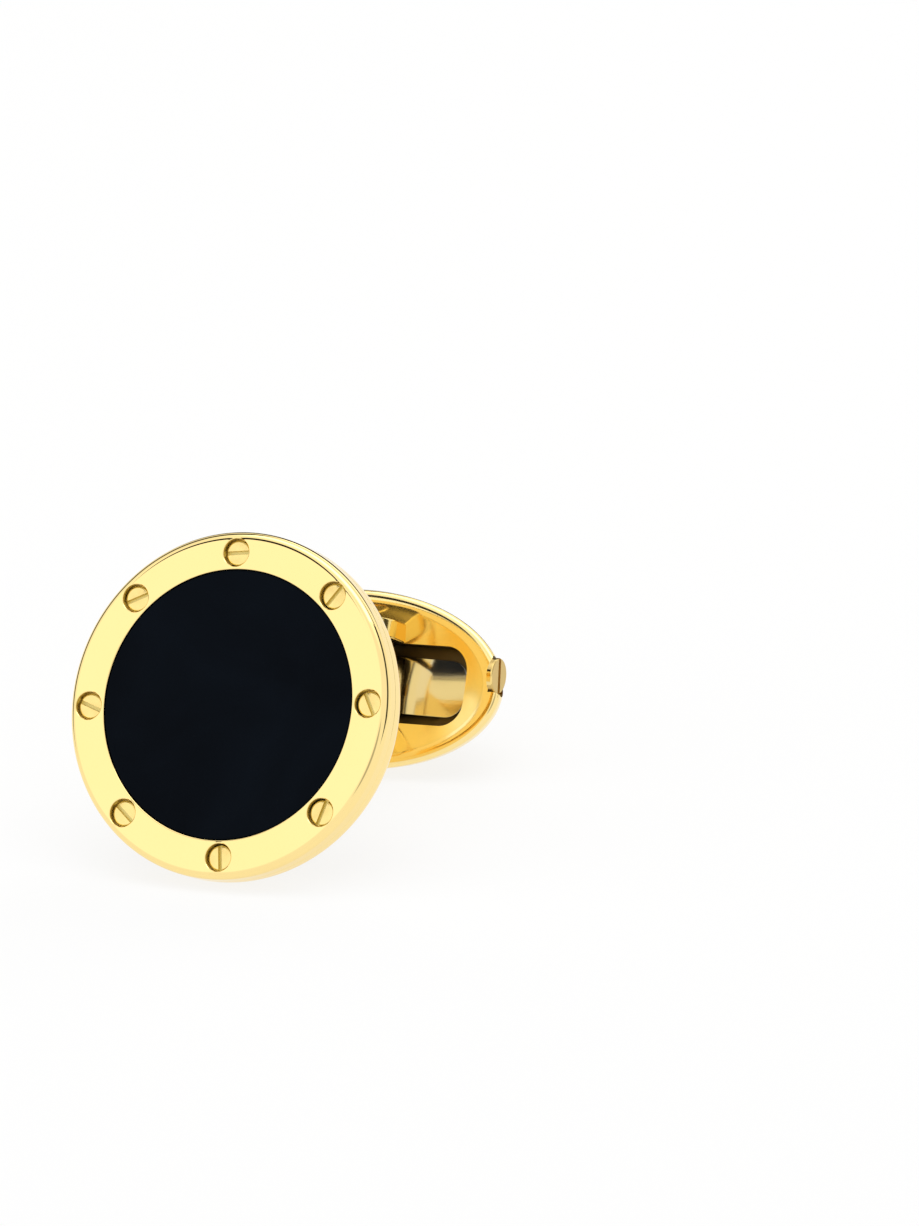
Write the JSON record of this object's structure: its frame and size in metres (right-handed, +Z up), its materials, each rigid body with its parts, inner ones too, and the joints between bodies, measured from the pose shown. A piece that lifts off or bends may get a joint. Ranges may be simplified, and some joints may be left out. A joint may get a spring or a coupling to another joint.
{
  "type": "cufflink",
  "caption": "Round gold cufflink: a polished bezel screwed over a flat black stone, a swan-neck post and an oval toggle that flips on a pin to pass through a cuff's buttonholes.",
  "frame": {"origin": "middle of the bounding box's underside, on the table that the cufflink lies on: it rests on the lower edge of its head and on its toggle", "axes": "+Z up from the table, +Y from the face back to the toggle, +X along the toggle's length, to the right of a viewer of the face; the face looks towards -Y and upwards"},
  "size_m": [0.017, 0.0222, 0.0155],
  "materials": {
    "gold": "polished",
    "onyx": "polished",
    "spring_steel": "polished",
    "setting_cement": "matte"
  },
  "bodies": {
    "head": {"case_back": "gold", "bezel_ring": "gold", "onyx_disc": "onyx", "onyx_bed": "setting_cement", "bezel_screw_1": "gold", "bezel_screw_2": "gold", "bezel_screw_3": "gold", "bezel_screw_4": "gold", "bezel_screw_5": "gold", "bezel_screw_6": "gold", "bezel_screw_7": "gold", "bezel_screw_8": "gold", "swan_neck_post": "gold", "post_collar": "gold"},
    "toggle": {"toggle_shell": "gold", "toggle_deck": "gold", "leaf_spring": "spring_steel", "pivot_pin": "gold", "end_screw_left": "gold", "end_screw_right": "gold"}
  },
  "joints": [
    {"name": "toggle_flip", "type": "hinge", "parent": "head", "child": "toggle", "pos_m": [0, 0.00576, 0.00498], "axis": [0, 0.4847, 0.8747], "range_deg": [-90, 90]}
  ]
}
